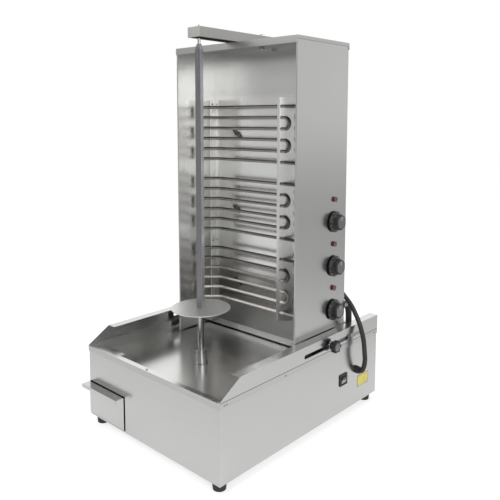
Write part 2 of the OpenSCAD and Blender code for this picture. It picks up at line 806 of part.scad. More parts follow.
module slider() {
  slab(shell_x, shell_x + block_w, clamp_y - slot_h, guide_y + slot_h,
    slot_z - block_h / 2, slot_z + block_h / 2);
  along_x(shell_x + block_w, half_w + clamp_len * 0.8, clamp_y, slot_z, stud_d);
  along_x(shell_x + block_w, half_w + sheet, guide_y, slot_z, stud_d);
  along_x(half_w + fit, half_w + sheet * 2, guide_y, slot_z, stud_d * 1.9);
}

clamp_len = clamp_diameter * 0.6;
washer_t = sheet;

module left_slider() {
  color("silver") placed() mirror([1, 0, 0]) slider();
}

module right_slider() {
  color("silver") placed() slider();
}

module tower_gland() {
  color("black") placed() translate([main_ends[0][0], shell_y1, main_ends[0][2]])
    rotate([-90, 0, 0]) gland_body(main_ends[0][1] - shell_y1, hose_diameter, gland_hex);
}

module tower_elbow() {
  color("silver") placed() translate([short_ends[0][0], shell_y1, short_ends[0][2]])
    rotate([-90, 0, 0]) gland_body(short_ends[0][1] - shell_y1, short_diameter, short_hex);
}

module arm_bolt() {
  color("dimgray") placed() {
    post(0, bolt_y, tower_top - sheet * 6, arm_z0 + arm_h + bolt_d, bolt_d);
    post(0, bolt_y, tower_top - sheet * 5, tower_top - sheet, bolt_d * 1.8);
    translate([0, bolt_y, arm_z0 + arm_h + fit]) cylinder(h = bolt_d * 0.7, d = bolt_d * 1.9, $fn = 6);
  }
}

module arm() {
  color("silver") placed() difference() {
    slab(-arm_w / 2, arm_w / 2, arm_y0, arm_y1, arm_z0, arm_z0 + arm_h);
    slab(-arm_w / 2 + arm_sheet, arm_w / 2 - arm_sheet, arm_y0 + arm_sheet, arm_y1 + sheet,
      arm_z0 - sheet, arm_z0 + arm_h - arm_sheet);
    slab(-arm_slot / 2, arm_slot / 2, bolt_y - slide_forward - arm_slot,
      bolt_y + slide_back + arm_slot, arm_z0, arm_z0 + arm_h + sheet);
    post(0, spit_y, arm_z0, arm_z0 + arm_h + sheet, peg_d + 2 * run_fit);
  }
}

// The pin stands in the tube, and its thinner peg goes up through the arm
module spit_pin() {
  color("silver") placed() {
    post(0, spit_y, tube_top - pin_d * 4, arm_z0 + arm_h - arm_sheet - fit, pin_d);
    post(0, spit_y, arm_z0 + sheet, arm_z0 + arm_h + pin_d * 0.9, peg_d);
  }
}

module spit_tube() {
  color("silver") placed() translate([0, spit_y, 0]) rotate([0, 0, spit_turn]) difference() {
    translate([-spit_side / 2, -spit_side / 2, disc_z - disc_t]) cube([spit_side, spit_side,
      tube_top - disc_z + disc_t]);
    for (a = [0:90:270]) rotate([0, 0, a]) translate([spit_side / 2, 0, tube_top - taper_h])
      rotate([0, -taper_turn, 0]) translate([0, -spit_side, 0]) cube([spit_side, spit_side * 2,
        taper_h * 1.5]);
    translate([0, 0, tube_top - pin_d * 4]) cylinder(h = pin_d * 5, d = pin_d, $fn = round_fn);
    translate([0, 0, disc_z - disc_t * 2]) cylinder(h = tube_top - disc_z - pin_d * 6,
      d = spit_side * 0.75, $fn = small_fn);
  }
}

module spit_disc() {
  color("silver") placed() translate([0, spit_y, 0]) difference() {
    translate([0, 0, disc_z - disc_t]) cylinder(h = disc_t, d = disc_diameter, $fn = 96);
    rotate([0, 0, spit_turn]) translate([-spit_side / 2 - fit, -spit_side / 2 - fit,
      disc_z - disc_t * 2]) cube([spit_side + 2 * fit, spit_side + 2 * fit, disc_t * 3]);
  }
}

module spit_rod() {
  color("silver") placed() {
    post(0, spit_y, pan_floor + collar_h * 0.45, disc_z - disc_t, spit_rod_d);
    post(0, spit_y, disc_z - disc_t - sheet * 2, disc_z - disc_t, spit_rod_d * 1.7);
    post(0, spit_y, disc_z - disc_t, disc_z + spit_side * 2, spit_side * 0.75 - fit);
  }
}

module spit_collar() {
  color("silver") placed() difference() {
    union() {
      post(0, spit_y, pan_floor + fit * 2, pan_floor + collar_h, collar_d);
      post(0, spit_y, pan_floor + fit * 2, pan_floor + collar_h * 0.12, collar_d * 1.16);
    }
    post(0, spit_y, pan_floor, pan_floor + collar_h * 0.45, drive_d);
    post(0, spit_y, pan_floor + collar_h * 0.44, rim_z * 2, spit_rod_d);
  }
}

module drive_shaft() {
  color("dimgray") placed() post(0, spit_y, shaft_z0 - gearbox_h * 0.4,
    pan_floor + collar_h * 0.45, drive_d);
}

module knob(k) {
  translate([tower_x, control_y, control_low + k * control_pitch]) rotate([0, 90, 0]) {
    translate([0, 0, -regulator_d * 0.5]) cylinder(h = regulator_d * 0.5 + knob_gap * 2,
      d = shaft_d, $fn = small_fn);
    translate([0, 0, knob_gap]) cylinder(h = knob_len * 0.14, d = knob_diameter, $fn = 96);
    translate([0, 0, knob_gap + knob_len * 0.14]) cylinder(h = knob_len * 0.16,
      d1 = knob_diameter * 0.94, d2 = knob_diameter * 0.82, $fn = round_fn);
    difference() {
      translate([0, 0, knob_gap + knob_len * 0.3]) cylinder(h = knob_len * 0.7,
        d1 = knob_diameter * 0.77, d2 = knob_diameter * 0.73, $fn = round_fn);
      for (a = [0:60:300]) rotate([0, 0, a + 30]) translate([knob_diameter * 0.47, 0,
        knob_gap + knob_len * 0.42]) cylinder(h = knob_len, d = knob_diameter * 0.26,
        $fn = small_fn);
      rotate([0, 0, 180]) translate([0, -sheet * 0.6, knob_gap + knob_len * 0.96])
        cube([knob_diameter * 0.4, sheet * 1.2, knob_len]);
    }
  }
}

module upper_knob() {
  color("black") placed() knob(2);
}

module middle_knob() {
  color("black") placed() knob(1);
}

module lower_knob() {
  color("black") placed() knob(0);
}

module clamp_knob() {
  translate([half_w + fit, clamp_y, slot_z]) rotate([0, 90, 0]) difference() {
    union() {
      cylinder(h = washer_t, d = clamp_diameter * 0.62, $fn = round_fn);
      translate([0, 0, washer_t]) cylinder(h = clamp_len * 0.3, d = clamp_diameter * 0.5,
        $fn = round_fn);
      translate([0, 0, washer_t + clamp_len * 0.3]) difference() {
        cylinder(h = clamp_len * 0.7, d = clamp_diameter, $fn = round_fn);
        for (a = [0:60:300]) rotate([0, 0, a]) translate([clamp_diameter * 0.56, 0, -sheet])
          cylinder(h = clamp_len, d = clamp_diameter * 0.34, $fn = small_fn);
      }
    }
    translate([0, 0, -sheet]) cylinder(h = clamp_len * 0.8 + sheet + fit,
      d = stud_d + 2 * run_fit, $fn = small_fn);
  }
}

module left_clamp_knob() {
  color("black") placed() mirror([1, 0, 0]) clamp_knob();
}

module right_clamp_knob() {
  color("black") placed() clamp_knob();
}

function unit(v) = v / norm(v);
function way(r, i) = i == 0 ? unit(r[1] - r[0])
  : i == len(r) - 1 ? unit(r[i] - r[i - 1])
  : unit(unit(r[i + 1] - r[i]) + unit(r[i] - r[i - 1]));
function side(t) = unit(cross(t, abs(t[1]) > 0.9 ? [1, 0, 0] : [0, 1, 0]));
tube_n = 12;

module tube(route, d) {
  r = [for (p = route) routed(p)];
  pts = [for (i = [0:len(r) - 1]) let (t = way(r, i), a = side(t), b = cross(t, a))
    for (k = [0:tube_n - 1]) r[i] + d / 2 * (cos(360 * k / tube_n) * a
      + sin(360 * k / tube_n) * b)];
  last = (len(r) - 1) * tube_n;
  sides = [for (i = [0:len(r) - 2]) for (k = [0:tube_n - 1])
    [i * tube_n + k, (i + 1) * tube_n + k, (i + 1) * tube_n + (k + 1) % tube_n,
      i * tube_n + (k + 1) % tube_n]];
  first_cap = [[for (k = [0:tube_n - 1]) k]];
  last_cap = [[for (k = [tube_n - 1:-1:0]) last + k]];
  polyhedron(points = pts, faces = concat(sides, first_cap, last_cap), convexity = 6);
}

module main_hose() {
  color("black") placed() tube(main_route, hose_diameter);
}

module short_hose() {
  color("black") placed() tube(short_route, hose_diameter);
}

base_housing();
base_floor();
drip_tray();
left_guard();
right_guard();
tray_rivets();
foot_front_left();
foot_front_right();
foot_rear_left();
foot_rear_right();
drawer_rails();
gear_motor();
gearbox();
motor_bracket();
terminal_box();
rocker_bezel();
rocker_key();
blank_plate();
base_gland();
mains_inlet();
deck_gland();
drawer_pan();
drawer_front();
tower_shell();
top_cover();
back_panel();
bottom_ledge();
control_box();
left_bracket();
right_bracket();
upper_heater();
middle_heater();
lower_heater();
heater_clips();
upper_regulator();
middle_regulator();
lower_regulator();
upper_lamp();
middle_lamp();
lower_lamp();
left_slider();
right_slider();
tower_gland();
tower_elbow();
arm_bolt();
arm();
spit_pin();
spit_tube();
spit_disc();
spit_rod();
spit_collar();
drive_shaft();
upper_knob();
middle_knob();
lower_knob();
left_clamp_knob();
right_clamp_knob();
main_hose();
short_hose();
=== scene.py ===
import json
import math

import bmesh
import bpy
from mathutils import Matrix, Vector


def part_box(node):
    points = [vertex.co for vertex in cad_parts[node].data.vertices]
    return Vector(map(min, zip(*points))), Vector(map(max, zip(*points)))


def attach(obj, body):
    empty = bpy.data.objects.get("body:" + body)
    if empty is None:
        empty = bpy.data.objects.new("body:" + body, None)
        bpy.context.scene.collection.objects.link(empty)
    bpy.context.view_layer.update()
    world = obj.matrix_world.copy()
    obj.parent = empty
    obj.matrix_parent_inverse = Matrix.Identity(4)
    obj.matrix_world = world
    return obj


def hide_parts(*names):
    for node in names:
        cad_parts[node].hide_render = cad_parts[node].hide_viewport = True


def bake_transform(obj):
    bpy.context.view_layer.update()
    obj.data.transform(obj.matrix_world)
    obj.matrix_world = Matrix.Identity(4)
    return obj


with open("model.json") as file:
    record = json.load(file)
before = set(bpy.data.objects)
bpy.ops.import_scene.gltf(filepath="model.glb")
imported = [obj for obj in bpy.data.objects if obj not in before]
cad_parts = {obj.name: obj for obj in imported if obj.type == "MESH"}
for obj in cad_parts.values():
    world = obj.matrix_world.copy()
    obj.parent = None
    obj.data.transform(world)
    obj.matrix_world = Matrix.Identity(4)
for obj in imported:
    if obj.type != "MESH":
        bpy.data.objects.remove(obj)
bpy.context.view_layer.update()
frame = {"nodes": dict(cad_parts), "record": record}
scene = bpy.context.scene
body_of = {node: body for body, nodes in frame["record"]["behaviour"]["bodies"].items() for node in nodes}

# Places and sizes are in the drawing's millimetres where no comment says metres: X to the side with
# the knobs, Y to the back from the front of the base, Z up from the base's underside.
MM_IN_M = 1000
MID_Y = 285.5295    # the drawing's Y at the origin of the shared frame
FOOT = 20.0         # the base's underside is this far above the ground


def point(x, y, z):
    """A place of the drawing in the shared frame, in metres."""
    return Vector((x / MM_IN_M, (y - MID_Y) / MM_IN_M, (z + FOOT) / MM_IN_M))


def drawn(place):
    """A place of the shared frame in the drawing's millimetres."""
    return Vector((place.x * MM_IN_M, place.y * MM_IN_M + MID_Y, place.z * MM_IN_M - FOOT))


def node_box(node):
    """Lowest corner, highest corner and middle of a CAD node, in the drawing's millimetres."""
    low, high = (drawn(corner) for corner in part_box(node))
    return low, high, (low + high) / 2


def add_object(name, data):
    made = bpy.data.objects.new(name, data)
    scene.collection.objects.link(made)
    return made


# camera, fitted to the photograph's view
YAW, PITCH, ROLL = math.radians(42.34087), math.radians(6.0087), math.radians(0.1035)
CAMERA_PLACE = (1.035196, -1.077765, 0.748750)    # metres
SENSOR_WIDTH, LENS = 36, 43.3995
SHIFT_X, SHIFT_Y = -0.002825, -0.132915           # shares of the picture's width
CLIP_START, CLIP_END = 0.05, 60                   # metres


def set_camera():
    ahead = Vector((-math.sin(YAW) * math.cos(PITCH), math.cos(YAW) * math.cos(PITCH), -math.sin(PITCH)))
    level_right = Vector((math.cos(YAW), math.sin(YAW), 0))
    level_up = level_right.cross(ahead)
    right = level_right * math.cos(ROLL) + level_up * math.sin(ROLL)
    up = level_up * math.cos(ROLL) - level_right * math.sin(ROLL)
    data = bpy.data.cameras.new("Camera")
    data.sensor_width = SENSOR_WIDTH
    data.lens = LENS
    data.shift_x = SHIFT_X
    data.shift_y = SHIFT_Y
    data.clip_start = CLIP_START
    data.clip_end = CLIP_END
    camera = add_object("Camera", data)
    camera.matrix_world = Matrix.Translation(CAMERA_PLACE) @ Matrix((right, up, -ahead)).transposed().to_4x4()
    scene.camera = camera
    scene.view_settings.view_transform = "Standard"


set_camera()

# mesh helpers
WELD = 1e-7              # metres, for meshes made here
NODE_WELD = 2e-6         # metres, for copies of CAD nodes
FLAT_WITHIN = math.radians(0.4)
ROUND_ANGLE = math.radians(30)
FACE_WEIGHT = 80
NO_RADIUS = 1e-6
UPRIGHT = 0.9            # an axis is upright if its Z share is above this
# the faces of a box whose corners are listed by x, then y, then z
BOX_FACES = [(0, 1, 3, 2), (4, 6, 7, 5), (0, 4, 5, 1), (2, 3, 7, 6), (0, 2, 6, 4), (1, 5, 7, 3)]
# these nodes keep their triangles, as one flat face with holes in it would not fill well
WHOLE = ("drip_tray", "back_panel", "deck_gland", "tower_gland", "tower_elbow")


def new_mesh(name, corners, faces, body, mat, smooth=True):
    """A piece from corners in metres, which rides on body where one is given."""
    mesh = bpy.data.meshes.new(name)
    mesh.from_pydata([tuple(c) for c in corners], [], faces)
    mesh.validate()
    bm = bmesh.new()
    bm.from_mesh(mesh)
    bmesh.ops.remove_doubles(bm, verts=bm.verts, dist=WELD)
    bmesh.ops.recalc_face_normals(bm, faces=bm.faces)
    bm.to_mesh(mesh)
    bm.free()
    mesh.polygons.foreach_set("use_smooth", [smooth] * len(mesh.polygons))
    mesh.materials.append(mat)
    ob = add_object(name, mesh)
    if body:
        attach(ob, body)
    return ob


def soften(ob, width, segments=2):
    """Rounds the sharp edges by width, and evens the normals of the flat faces."""
    bevel = ob.modifiers.new("Round", "BEVEL")
    bevel.width = width / MM_IN_M
    bevel.segments = segments
    bevel.limit_method = "ANGLE"
    bevel.angle_limit = ROUND_ANGLE
    bevel.use_clamp_overlap = True
    bevel.harden_normals = False
    even = ob.modifiers.new("Even", "WEIGHTED_NORMAL")
    even.keep_sharp = False
    even.weight = FACE_WEIGHT
    return ob


def dress(node, mat, width):
    """A copy of a CAD node with rounded edges, which stands for the node where the node is."""
    mesh = frame["nodes"][node].data.copy()
    mesh.name = node + "_finished"
    bm = bmesh.new()
    bm.from_mesh(mesh)
    bmesh.ops.remove_doubles(bm, verts=bm.verts, dist=NODE_WELD)
    if node not in WHOLE:
        bmesh.ops.dissolve_limit(bm, angle_limit=FLAT_WITHIN, verts=bm.verts, edges=bm.edges)
    bm.to_mesh(mesh)
    bm.free()
    mesh.materials.clear()
    mesh.materials.append(mat)
    mesh.polygons.foreach_set("use_smooth", [True] * len(mesh.polygons))
    if mesh.has_custom_normals:
        mesh.normals_split_custom_set([(0, 0, 0)] * len(mesh.loops))
    ob = add_object(mesh.name, mesh)
    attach(ob, body_of[node])
    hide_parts(node)
    return soften(ob, width)


def paint(ob, mat, test):
    """Gives mat to the faces for which test(middle of the face, normal) holds."""
    ob.data.materials.append(mat)
    index = len(ob.data.materials) - 1
    for face in ob.data.polygons:
        if test(drawn(face.center), face.normal):
            face.material_index = index


def rings_to_faces(rings, sides):
    """The faces between rings of corners that follow one another."""
    faces = []
    for i in range(rings - 1):
        for k in range(sides):
            j = (k + 1) % sides
            faces.append((i * sides + k, i * sides + j, (i + 1) * sides + j, (i + 1) * sides + k))
    return faces


def end_faces(rings, sides):
    """The faces that close the first and the last ring."""
    last = (rings - 1) * sides
    return tuple(range(sides - 1, -1, -1)), tuple(range(last, last + sides))


def turned(name, profile, centre, axis, body, mat, sides, lobes=None):
    """A turned form: profile is (radius, height) along axis, lobes(radius, height, angle) its radius."""
    axis = Vector(axis).normalized()
    start = Vector((0, 0, 1)) if abs(axis.z) < UPRIGHT else Vector((1, 0, 0))
    a = (start - axis * start.dot(axis)).normalized()
    b = axis.cross(a)
    corners = []
    for radius, height in profile:
        for k in range(sides):
            t = 2 * math.pi * k / sides
            r = lobes(radius, height, t) if lobes else radius
            out = (a * math.cos(t) + b * math.sin(t)) * r / MM_IN_M
            corners.append(centre + out + axis * height / MM_IN_M)
    faces = rings_to_faces(len(profile), sides)
    first, last = end_faces(len(profile), sides)
    if profile[0][0] > NO_RADIUS:
        faces.append(first)
    if profile[-1][0] > NO_RADIUS:
        faces.append(last)
    return new_mesh(name, corners, faces, body, mat)


def slab(name, x_span, y_span, z_span, body, mat, width, segments=2):
    """A flat plate between two corners, with edges rounded by width."""
    corners = [point(x, y, z) for x in x_span for y in y_span for z in z_span]
    return soften(new_mesh(name, corners, BOX_FACES, body, mat), width, segments)


def spline(points, step):
    """Points about every step metres on a smooth curve through the given ones."""
    ends = [points[0] * 2 - points[1]] + points + [points[-1] * 2 - points[-2]]
    out = []
    for i in range(1, len(ends) - 2):
        p0, p1, p2, p3 = ends[i - 1:i + 3]
        parts = max(2, round((p2 - p1).length / step))
        for k in range(parts):
            t = k / parts
            out.append(0.5 * (2 * p1 + (p2 - p0) * t + (2 * p0 - 5 * p1 + 4 * p2 - p3) * t * t
                              + (3 * p1 - p0 - 3 * p2 + p3) * t ** 3))
    out.append(points[-1])
    return out


def tube(name, path, radius, mat, sides, wave):
    """A tube swept along path; wave(length so far) is added to its radius, all in metres."""
    corners = []
    so_far = 0.0
    across = None
    for i, p in enumerate(path):
        along = (path[min(i + 1, len(path) - 1)] - path[max(i - 1, 0)]).normalized()
        if across is None:
            across = along.orthogonal().normalized()
        across = (across - along * across.dot(along)).normalized()
        other = along.cross(across)
        if i:
            so_far += (p - path[i - 1]).length
        r = radius + wave(so_far)
        for k in range(sides):
            w = 2 * math.pi * k / sides
            corners.append(p + (across * math.cos(w) + other * math.sin(w)) * r)
    faces = rings_to_faces(len(path), sides)
    faces.extend(end_faces(len(path), sides))
    return new_mesh(name, corners, faces, None, mat)


# shader helpers
def srgb(*levels):
    """Linear colour of levels from 0 to 255."""
    shares = [level / 255 for level in levels]
    return tuple(v / 12.92 if v <= 0.04045 else ((v + 0.055) / 1.055) ** 2.4 for v in shares)


def grey(level):
    return (level, level, level, 1.0)


class Tree:
    """A node tree, with a short call for each kind of node that is used more than once."""

    def __init__(self, tree):
        self.tree = tree

    def add(self, kind, **props):
        node = self.tree.nodes.new(kind)
        for key, value in props.items():
            setattr(node, key, value)
        return node

    def link(self, out, socket):
        self.tree.links.new(out, socket)

    def put(self, value, socket):
        """Sets the socket to a plain number or colour, or links it to an output."""
        if isinstance(value, (int, float, tuple)):
            socket.default_value = value
        else:
            self.link(value, socket)

    def math(self, operation, a, b):
        node = self.add("ShaderNodeMath", operation=operation)
        self.put(a, node.inputs[0])
        self.put(b, node.inputs[1])
        return node.outputs[0]

    def split(self, vector):
        """The x, y and z outputs of a vector."""
        node = self.add("ShaderNodeSeparateXYZ")
        self.link(vector, node.inputs[0])
        return node.outputs

    def mix(self, share, a, b, blend="MIX"):
        node = self.add("ShaderNodeMix", data_type="RGBA", blend_type=blend)
        for value, index in ((share, 0), (a, 6), (b, 7)):
            self.put(value, node.inputs[index])
        return node.outputs[2]

    def multiply(self, a, b):
        return self.mix(1.0, a, b, "MULTIPLY")

    def ramp(self, share, stops):
        node = self.add("ShaderNodeValToRGB")
        while len(node.color_ramp.elements) < len(stops):
            node.color_ramp.elements.new(0.5)
        for element, (place, colour) in zip(node.color_ramp.elements, stops):
            element.position = place
            element.color = colour
        self.link(share, node.inputs["Fac"])
        return node.outputs["Color"]

    def span(self, value, low, high, start=0.0, end=1.0):
        """value mapped from start and end to low and high."""
        node = self.add("ShaderNodeMapRange")
        node.inputs["From Min"].default_value = start
        node.inputs["From Max"].default_value = end
        node.inputs["To Min"].default_value = low
        node.inputs["To Max"].default_value = high
        self.link(value, node.inputs["Value"])
        return node.outputs["Result"]


class Material(Tree):
    """A principled material whose textures follow the piece."""

    def __init__(self, name, rough, metallic=0.0):
        self.mat = bpy.data.materials.new(name)
        self.mat.use_nodes = True
        super().__init__(self.mat.node_tree)
        self.bsdf = self.tree.nodes["Principled BSDF"]
        self.bsdf.inputs["Roughness"].default_value = rough
        self.bsdf.inputs["Metallic"].default_value = metallic
        self.coord = self.add("ShaderNodeTexCoord")

    def normal(self):
        return self.split(self.coord.outputs["Normal"])

    def place(self):
        """x, y and z in the shared frame, in metres."""
        return self.split(self.coord.outputs["Object"])

    def noise(self, scale, stretch=(1, 1, 1), detail=3.0, rough=0.55, shift=(0, 0, 0)):
        mapping = self.add("ShaderNodeMapping")
        mapping.inputs["Scale"].default_value = stretch
        mapping.inputs["Location"].default_value = shift
        self.link(self.coord.outputs["Object"], mapping.inputs["Vector"])
        node = self.add("ShaderNodeTexNoise")
        node.inputs["Scale"].default_value = scale
        node.inputs["Detail"].default_value = detail
        node.inputs["Roughness"].default_value = rough
        self.link(mapping.outputs["Vector"], node.inputs["Vector"])
        return node.outputs["Fac"]

    def bump(self, height, strength, distance):
        """distance is in metres."""
        node = self.add("ShaderNodeBump")
        node.inputs["Strength"].default_value = strength
        node.inputs["Distance"].default_value = distance
        self.link(height, node.inputs["Height"])
        self.link(node.outputs["Normal"], self.bsdf.inputs["Normal"])

    def color(self, out):
        self.link(out, self.bsdf.inputs["Base Color"])

    def rough(self, out):
        self.link(out, self.bsdf.inputs["Roughness"])


# materials
GRAIN_ACROSS, GRAIN_ALONG = 1100.0, 9.0    # noise scales across and along the brushing
FACES_X = 0.5                              # a face looks along X if that share of its normal does
BRUSH_DEPTH, GRAIN_DEPTH = 0.00012, 0.0002    # metres
WARM_WHITE = (1, 1, 0.985)
CLOUD = 0.03                               # how much the slow clouds change a sheet's tone
CLOUD_SCALE, SMUDGE_SCALE = 5.5, 24.0
TONE_FROM, TONE_TO = 0.45, 1.55            # the noise levels of the darkest and lightest tone, as
                                           # shares of the middle level
STREAK_ROUGH, SMUDGE_ROUGH, ROUGH_MIDDLE = 2, 1.4, 1.7    # shares of a sheet's spread of roughness
GRAIN_SHARE, CLOUD_SHARE = 0.4, 0.6        # of a moulded piece's roughness
ROUGH_HALF = 0.07


def streaks_of(m, grain, on_x):
    """The brushing's noise, drawn out along grain, or along the wide way of each face for "xy"."""
    if grain != "xy":
        stretch = [GRAIN_ACROSS] * 3
        stretch["xyz".index(grain)] = GRAIN_ALONG
        return m.noise(1, tuple(stretch), 2.5)
    along_x = m.noise(1, (GRAIN_ALONG, GRAIN_ACROSS, GRAIN_ACROSS), 2.5)
    along_y = m.noise(1, (GRAIN_ACROSS, GRAIN_ALONG, GRAIN_ACROSS), 2.5)
    both = m.add("ShaderNodeMix", data_type="FLOAT")
    for out, index in ((on_x, 0), (along_x, 2), (along_y, 3)):
        m.link(out, both.inputs[index])
    return both.outputs[0]


def brushed(name, tone, rough, grain, spread=0.03, streak=0.05, bump=0.05, tint=WARM_WHITE, side=1.0,
            heights=None):
    """Brushed stainless sheet. grain is the direction of the brushing: "x", "y", "z", or "xy" for along X
    on the faces that look along Y, and along Y on those that look along X. side is painted light and shade:
    the tone of the faces that look along X beside the others'. heights is painted light and shade by height:
    it gives shares of the tone by height."""
    m = Material(name, rough, 1.0)
    on_x = m.math("GREATER_THAN", m.math("ABSOLUTE", m.normal()[0], 0), FACES_X)
    streaks = streaks_of(m, grain, on_x)
    clouds = m.noise(CLOUD_SCALE, (1, 1, 1), 3.0, 0.5)
    smudge = m.noise(SMUDGE_SCALE, (1, 1, 1), 4.0, 0.6, shift=(3, 1, 7))
    level = m.math("ADD", m.math("MULTIPLY", streaks, streak), m.math("MULTIPLY", clouds, CLOUD))
    middle = (streak + CLOUD) / 2
    dark = tuple(tone * (1 - middle) * t for t in tint) + (1.0,)
    light = tuple(min(1.0, tone * (1 + middle)) * t for t in tint) + (1.0,)
    colour = m.ramp(m.span(level, 0, 1, middle * TONE_FROM, middle * TONE_TO), [(0.0, dark), (1.0, light)])
    # painted light and shade: the faces that look along X get side times the tone
    if side != 1.0:
        colour = m.mix(on_x, colour, m.multiply(colour, grey(side)))
    # painted light and shade: the tone changes with height
    if heights:
        low, high = heights[0][0], heights[-1][0]
        up_share = m.span(m.place()[2], 0, 1, (low + FOOT) / MM_IN_M, (high + FOOT) / MM_IN_M)
        stops = [((z - low) / (high - low), grey(share)) for z, share in heights]
        colour = m.multiply(colour, m.ramp(up_share, stops))
    m.color(colour)
    change = m.math("ADD", m.math("MULTIPLY", streaks, spread * STREAK_ROUGH),
                    m.math("MULTIPLY", smudge, spread * SMUDGE_ROUGH))
    m.rough(m.math("ADD", change, rough - spread * ROUGH_MIDDLE))
    m.bump(streaks, bump, BRUSH_DEPTH)
    return m.mat


def grained(name, colour, rough, scale, bump, vary=0.25):
    """Moulded plastic, rubber or paint: a fine grain, and a little change of tone."""
    m = Material(name, rough)
    grain = m.noise(scale, (1, 1, 1), 2.0)
    clouds = m.noise(30.0)
    dark = tuple(c * (1 - vary) for c in colour) + (1.0,)
    light = tuple(min(1, c * (1 + vary)) for c in colour) + (1.0,)
    m.color(m.ramp(clouds, [(0.3, dark), (0.7, light)]))
    blend = m.math("ADD", m.math("MULTIPLY", grain, GRAIN_SHARE), m.math("MULTIPLY", clouds, CLOUD_SHARE))
    m.rough(m.span(blend, rough - ROUGH_HALF, rough + ROUGH_HALF, 0.3, 0.7))
    m.bump(grain, bump, GRAIN_DEPTH)
    return m.mat


BEND_X = 84.0             # the heater rods get painted shade from here to the right, at their right bends
BEND_FADE = 4.0
PALE_RODS = (270, 345)    # between these heights the rods turn paler towards the foot
PALE_SHARE = 0.85
PALE_TINT = (0.80, 0.76, 0.71, 1)
BEND_SHADE = (0.45, 0.45, 0.46, 1)
UPPER_SIDE_SHADE = (0.20, 0.20, 0.21, 1)


def heater_sheath():
    """Brown-grey metal, tinted by heat in bands and patches, with painted shade on its upper side and at its
    right bends.
    """
    m = Material("heater_sheath_metal", 0.34, 1.0)
    bands = m.noise(9.0, (1.2, 1.2, 0.6), 3.0, 0.6)
    fine = m.noise(260.0, (1, 1, 1), 3.0, 0.6)
    banded = m.ramp(bands, [(0.30, (0.33, 0.29, 0.27, 1)), (0.5, (0.42, 0.375, 0.345, 1)),
                            (0.68, (0.36, 0.345, 0.35, 1))])
    tint = m.mix(m.span(fine, 0, 0.45, 0.3, 0.75), banded, (0.24, 0.21, 0.19, 1))
    # painted shade: the upper side of the rods is darker
    upper = m.ramp(m.span(m.normal()[2], 0, 1, -1, 1), [(0.42, grey(1)), (0.62, UPPER_SIDE_SHADE)])
    place = m.place()
    # painted shade at the right bends
    bend = m.ramp(m.span(place[0], 0, 1, (BEND_X - BEND_FADE) / MM_IN_M, (BEND_X + BEND_FADE) / MM_IN_M),
                  [(0.0, grey(1)), (1.0, BEND_SHADE)])
    low, high = ((z + FOOT) / MM_IN_M for z in PALE_RODS)
    straight = m.mix(m.span(place[2], PALE_SHARE, 0, low, high), m.multiply(tint, upper), PALE_TINT)
    m.color(m.multiply(straight, bend))
    m.rough(m.span(fine, 0.26, 0.44, 0.3, 0.7))
    m.bump(fine, 0.12, GRAIN_DEPTH)
    return m.mat


def hose_sleeve():
    """Black woven sleeve."""
    m = Material("black_cable_sleeve", 0.42)
    weave = m.noise(1500.0, (1, 1, 1), 2.0)
    soft = m.noise(40.0)
    m.color(m.ramp(soft, [(0.3, (0.016, 0.016, 0.017, 1)), (0.7, (0.030, 0.030, 0.031, 1))]))
    m.rough(m.span(soft, 0.34, 0.50, 0.3, 0.7))
    m.bump(weave, 0.10, GRAIN_DEPTH)
    return m.mat


# painted light: the base's faces that look along X are a little lighter, and the sheet is lighter towards its
# foot
steel_base = brushed("steel_base_sheet", 0.54, 0.22, "xy", side=1.05,
                     heights=[(10, 1.15), (90, 1.07), (165, 1.0)])
# painted shade: a darker copy of the tray's steel for its upright outer faces, with lighter faces along X
skirt_steel_painted_shade = brushed("steel_skirt_sheet", 0.50, 0.24, "xy", side=1.08)
steel_tray = brushed("steel_tray_sheet", 0.66, 0.21, "x")
steel_tower = brushed("steel_tower_sheet", 0.54, 0.24, "z")
# painted light: the cover's faces that look along X are lighter
steel_cover = brushed("steel_cover_sheet", 0.41, 0.40, "x", side=1.28)
# painted shade: a darker copy of the cover's steel for its downward faces
underside_steel_painted_shade = brushed("steel_cover_underside", 0.28, 0.45, "x")
# painted shade: the back panel is darker towards its foot and in a band below its top
steel_inner = brushed("steel_inner_sheet", 0.86, 0.26, "z", spread=0.015, bump=0.02,
                      heights=[(150, 0.30), (240, 0.36), (300, 0.62), (340, 1.05), (700, 1.05), (770, 0.93),
                               (800, 0.76), (880, 0.84), (920, 0.95)])
# painted light and shade: a lighter copy of the tower's steel for the inner faces of its walls, darker
# towards the foot
inner_wall_steel_painted_shading = brushed("steel_inner_wall", 0.92, 0.24, "z",
                     heights=[(150, 0.45), (250, 0.60), (450, 0.95), (600, 1.05), (920, 1.05)])
# painted shade: the left bracket is darker towards its foot
steel_hook = brushed("steel_hook_sheet", 0.95, 0.34, "z", bump=0.02,
                     heights=[(214, 0.72), (450, 0.80), (600, 1.0), (785, 1.0)])
steel_ledge = brushed("steel_ledge_sheet", 0.50, 0.24, "x")
# painted shade: the arm's faces that look along X are darker
steel_arm = brushed("steel_arm_sheet", 0.56, 0.30, "y", tint=(1, 0.985, 0.95), side=0.75)
steel_turned = brushed("steel_turned", 0.44, 0.15, "z")
steel_disc = brushed("steel_disc_plate", 0.70, 0.38, "x", streak=0.08)
# painted light: the tube's faces that look along X are 3.6 times as light as the others
steel_tube = brushed("steel_square_tube", 0.25, 0.28, "z", tint=(0.97, 0.96, 1.0), side=3.6)
